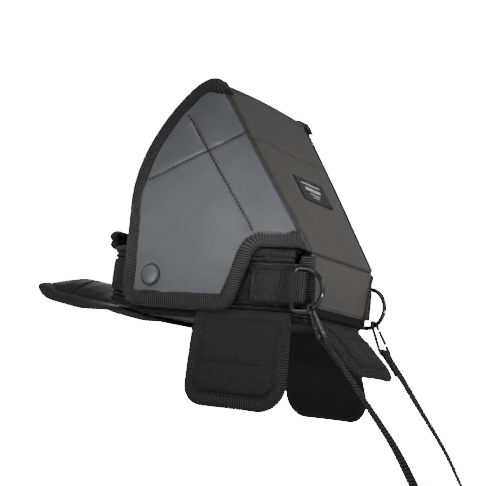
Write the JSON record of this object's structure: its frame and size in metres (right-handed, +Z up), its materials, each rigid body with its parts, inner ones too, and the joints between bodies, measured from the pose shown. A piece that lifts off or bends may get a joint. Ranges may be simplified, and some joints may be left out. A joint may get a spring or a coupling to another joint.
{
  "type": "motorcycle tank bag",
  "caption": "Soft motorcycle tank bag with a raised padded sun hood, side wings, magnet flaps, D-rings and front tie-down straps.",
  "frame": {"origin": "on the flat underside of the base, midway between the front and rear of the bag body, on the centre line", "axes": "+X forward along the motorcycle, +Y to the left, +Z up"},
  "size_m": [0.4451, 0.1656, 0.3295],
  "materials": {
    "rubber_sheet": "matt, fine-pebbled",
    "foam": "matt foam",
    "board": "matt board",
    "zip": "satin coil",
    "nylon": "woven nylon",
    "lining": "smooth lining cloth",
    "cover_leather": "soft semi-matt leatherette",
    "wing_leather": "soft semi-matt leatherette",
    "binding": "ribbed grosgrain",
    "webbing": "ribbed webbing",
    "black_metal": "gloss black",
    "clear_window": "clear film",
    "label": "woven label",
    "flap_nylon": "twill nylon",
    "magnet": "plain",
    "zip_metal": "satin black",
    "padding": "brushed lining over foam",
    "snap_cap": "satin blue-grey"
  },
  "bodies": {
    "bag": {"base_sheet": "rubber_sheet", "base_pad": "foam", "base_board": "board", "lower_zip_chain": "zip", "side_wall": "nylon", "wall_lining": "lining", "upper_zip_wall_half": "zip", "front_top_strip": "nylon", "front_cover_skin": "cover_leather", "corner_bindings": "binding", "side_pads": "nylon", "webbing_tabs": "webbing", "snap_studs": "black_metal"},
    "lid": {"upper_zip_lid_half": "zip", "lid_panel": "nylon", "lid_window": "clear_window", "lid_pocket_backing": "lining", "lid_binding": "binding"},
    "hood_crease": {"hood_crease_roll": "cover_leather"},
    "hood": {"hood_middle_skin": "cover_leather", "hood_top_skin": "cover_leather", "hood_boards": "board", "hood_lining": "lining", "hood_top_binding": "binding", "label_patch": "label"},
    "rear_flap": {"rear_flap": "flap_nylon", "rear_flap_magnets": "magnet", "rear_flap_binding": "binding"},
    "front_flap": {"front_flap": "flap_nylon", "front_flap_magnets": "magnet", "front_flap_binding": "binding"},
    "upper_zip_slider": {"upper_zip_slider": "zip_metal"},
    "upper_zip_pull": {"upper_zip_pull": "zip_metal"},
    "lower_zip_slider": {"lower_zip_slider": "zip_metal"},
    "lower_zip_pull": {"lower_zip_pull": "zip_metal"},
    "wing_edge_right": {"edge_roll_right": "wing_leather"},
    "wing_right": {"wing_skin_right": "wing_leather", "wing_padding_right": "padding", "wing_binding_right": "binding", "wing_snap_right": "snap_cap"},
    "side_flap_right": {"side_flap_right": "flap_nylon", "side_flap_magnets_right": "magnet", "side_flap_binding_right": "binding"},
    "d_ring_right": {"d_ring_right": "black_metal"},
    "hook_right": {"snap_hook_right": "black_metal"},
    "gate_right": {"hook_gate_right": "black_metal"},
    "strap_right": {"tie_strap_right": "webbing"},
    "wing_edge_left": {"edge_roll_left": "wing_leather"},
    "wing_left": {"wing_skin_left": "wing_leather", "wing_padding_left": "padding", "wing_binding_left": "binding", "wing_snap_left": "snap_cap"},
    "side_flap_left": {"side_flap_left": "flap_nylon", "side_flap_magnets_left": "magnet", "side_flap_binding_left": "binding"},
    "d_ring_left": {"d_ring_left": "black_metal"},
    "hook_left": {"snap_hook_left": "black_metal"},
    "gate_left": {"hook_gate_left": "black_metal"},
    "strap_left": {"tie_strap_left": "webbing"}
  },
  "joints": [
    {"name": "lid_lift", "type": "hinge", "parent": "bag", "child": "lid", "pos_m": [0.088, 0, 0.056], "axis": [0, 1, 0], "range_deg": [0, 30]},
    {"name": "hood_fold_back", "type": "hinge", "parent": "bag", "child": "hood_crease", "pos_m": [0.103, 0, 0.0576], "axis": [0, 1, 0], "range_deg": [-36, 0]},
    {"name": "hood_tilt_forward", "type": "hinge", "parent": "hood_crease", "child": "hood", "pos_m": [0.103, 0, 0.0576], "axis": [0, 1, 0], "range_deg": [0, 60]},
    {"name": "wing_unfold_right", "type": "hinge", "parent": "hood", "child": "wing_edge_right", "pos_m": [0.10335, -0.0505, 0.05787], "axis": [-0.5639, -0.0609, 0.8236], "range_deg": [0, 90]},
    {"name": "wing_swing_right", "type": "hinge", "parent": "wing_edge_right", "child": "wing_right", "pos_m": [0.10335, -0.0505, 0.05787], "axis": [-0.5639, -0.0609, 0.8236], "range_deg": [0, 85]},
    {"name": "wing_unfold_left", "type": "hinge", "parent": "hood", "child": "wing_edge_left", "pos_m": [0.10335, 0.0505, 0.05787], "axis": [0.5639, -0.0609, -0.8236], "range_deg": [0, 90]},
    {"name": "wing_swing_left", "type": "hinge", "parent": "wing_edge_left", "child": "wing_left", "pos_m": [0.10335, 0.0505, 0.05787], "axis": [0.5639, -0.0609, -0.8236], "range_deg": [0, 85]},
    {"name": "side_flap_lift_right", "type": "hinge", "parent": "bag", "child": "side_flap_right", "pos_m": [0.04518, -0.05408, 0.003], "axis": [0.9936, 0.1132, 0], "range_deg": [-66, 16]},
    {"name": "side_flap_lift_left", "type": "hinge", "parent": "bag", "child": "side_flap_left", "pos_m": [0.04518, 0.05408, 0.003], "axis": [-0.9936, 0.1132, 0], "range_deg": [-66, 16]},
    {"name": "rear_flap_droop", "type": "hinge", "parent": "bag", "child": "rear_flap", "pos_m": [-0.056, 0, -0.0017], "axis": [0, -1, 0], "range_deg": [-2, 50], "stiffness_Nm_per_rad": 0.3, "springref_deg": -13.18},
    {"name": "front_flap_lift", "type": "hinge", "parent": "bag", "child": "front_flap", "pos_m": [0.1045, 0, 0.003], "axis": [0, -1, 0], "range_deg": [-45, 40]},
    {"name": "d_ring_swing_right", "type": "hinge", "parent": "bag", "child": "d_ring_right", "pos_m": [0.09296, -0.05498, 0.0272], "axis": [0, 0, -1], "range_deg": [0, 110]},
    {"name": "d_ring_swing_left", "type": "hinge", "parent": "bag", "child": "d_ring_left", "pos_m": [0.09296, 0.05498, 0.0272], "axis": [0, 0, 1], "range_deg": [0, 110]},
    {"name": "hook_swing_right", "type": "hinge", "parent": "d_ring_right", "child": "hook_right", "pos_m": [0.10985, -0.05306, 0.01248], "axis": [-0.8605, -0.098, -0.5], "range_deg": [-5, 40]},
    {"name": "hook_swing_left", "type": "hinge", "parent": "d_ring_left", "child": "hook_left", "pos_m": [0.10985, 0.05306, 0.01248], "axis": [0.8605, -0.098, 0.5], "range_deg": [-5, 40]},
    {"name": "gate_press_right", "type": "hinge", "parent": "hook_right", "child": "gate_right", "pos_m": [0.1193, -0.05827, -0.00276], "axis": [-0.8605, -0.098, -0.5], "range_deg": [0, 18]},
    {"name": "gate_press_left", "type": "hinge", "parent": "hook_left", "child": "gate_left", "pos_m": [0.1193, 0.05827, -0.00276], "axis": [0.8605, -0.098, 0.5], "range_deg": [0, 18]},
    {"name": "strap_swing_right", "type": "hinge", "parent": "hook_right", "child": "strap_right", "pos_m": [0.12277, -0.05158, -0.01004], "axis": [0.1132, -0.9936, 0], "range_deg": [-25, 40]},
    {"name": "strap_swing_left", "type": "hinge", "parent": "hook_left", "child": "strap_left", "pos_m": [0.12277, 0.05158, -0.01004], "axis": [-0.1132, -0.9936, 0], "range_deg": [-25, 40]},
    {"name": "upper_zip_slide", "type": "slide", "parent": "bag", "child": "upper_zip_slider", "axis": [-0.9936, 0.1132, 0], "range_m": [0, 0.1]},
    {"name": "lower_zip_slide", "type": "slide", "parent": "bag", "child": "lower_zip_slider", "axis": [-0.9936, 0.1132, 0], "range_m": [0, 0.09]},
    {"name": "upper_zip_pull_flip", "type": "hinge", "parent": "upper_zip_slider", "child": "upper_zip_pull", "pos_m": [0.07204, 0.04977, 0.0527], "axis": [0, 0, -1], "range_deg": [0, 60]},
    {"name": "lower_zip_pull_flip", "type": "hinge", "parent": "lower_zip_slider", "child": "lower_zip_pull", "pos_m": [0.06004, 0.05113, 0.0117], "axis": [0, 0, -1], "range_deg": [0, 60]}
  ],
  "couplings": [
    {"joint": "wing_unfold_right", "follows": "hood_fold_back", "ratio": -2.5},
    {"joint": "wing_unfold_left", "follows": "hood_fold_back", "ratio": -2.5}
  ]
}
